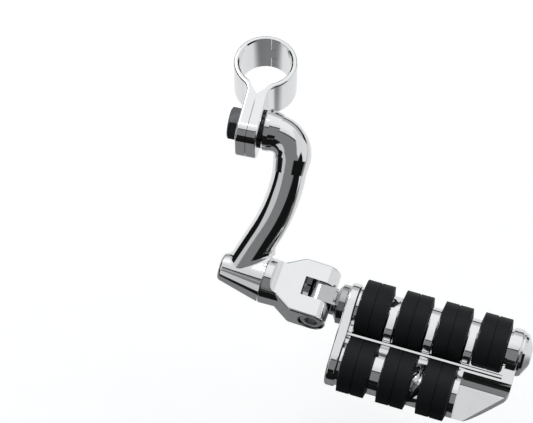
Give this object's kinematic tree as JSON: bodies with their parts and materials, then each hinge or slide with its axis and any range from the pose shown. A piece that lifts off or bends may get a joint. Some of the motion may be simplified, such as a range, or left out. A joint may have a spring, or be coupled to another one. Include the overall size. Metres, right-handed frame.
{
  "type": "clamp-on highway peg",
  "caption": "Folding motorcycle foot peg with rubber-padded twin rows, on a bowed chrome arm that clamps round an engine guard tube.",
  "frame": {"origin": "middle of the clamp bore", "axes": "+Z along the bore, +X along the clamp bolt towards the peg, -Y from the bore to the clamp ears"},
  "size_m": [0.208, 0.1905, 0.0936],
  "materials": {
    "clamp_chrome": "polished chrome plate",
    "arm_chrome": "polished chrome plate",
    "fork_chrome": "polished chrome plate",
    "peg_chrome": "polished chrome plate",
    "bright_steel": "bright zinc plate",
    "dark_steel": "dark oiled steel",
    "pad_rubber": "matt moulded rubber"
  },
  "bodies": {
    "clamp": {"clamp_half_head_side": "clamp_chrome", "clamp_half_arm_side": "clamp_chrome", "clamp_bolt": "dark_steel"},
    "arm": {"arm_lock_washer": "dark_steel", "offset_arm": "arm_chrome"},
    "fork": {"fork": "fork_chrome", "fork_screw": "dark_steel", "fork_screw_washer": "bright_steel", "pivot_screw": "bright_steel", "friction_washer_near": "bright_steel", "friction_washer_far": "bright_steel"},
    "peg": {"peg_mount": "fork_chrome", "peg_body": "peg_chrome", "peg_bolt": "dark_steel", "peg_bolt_washer": "bright_steel", "end_cap": "peg_chrome", "long_row_pad_1": "pad_rubber", "long_row_pad_2": "pad_rubber", "long_row_pad_3": "pad_rubber", "long_row_pad_4": "pad_rubber", "short_row_pad_1": "pad_rubber", "short_row_pad_2": "pad_rubber", "short_row_pad_3": "pad_rubber"}
  },
  "joints": [
    {"name": "arm_swing", "type": "hinge", "parent": "clamp", "child": "arm", "pos_m": [0, -0.038, 0], "axis": [1, 0, 0], "range_deg": [-128, 52]},
    {"name": "fork_swivel", "type": "hinge", "parent": "arm", "child": "fork", "pos_m": [0, -0.10608, -0.05319], "axis": [0.9943, -0.0837, -0.0654], "range_deg": [-90, 90]},
    {"name": "peg_fold", "type": "hinge", "parent": "fork", "child": "peg", "pos_m": [0.05847, -0.11101, -0.05704], "axis": [-0.0836, -0.9965, 0.0055], "range_deg": [0, 80]}
  ]
}
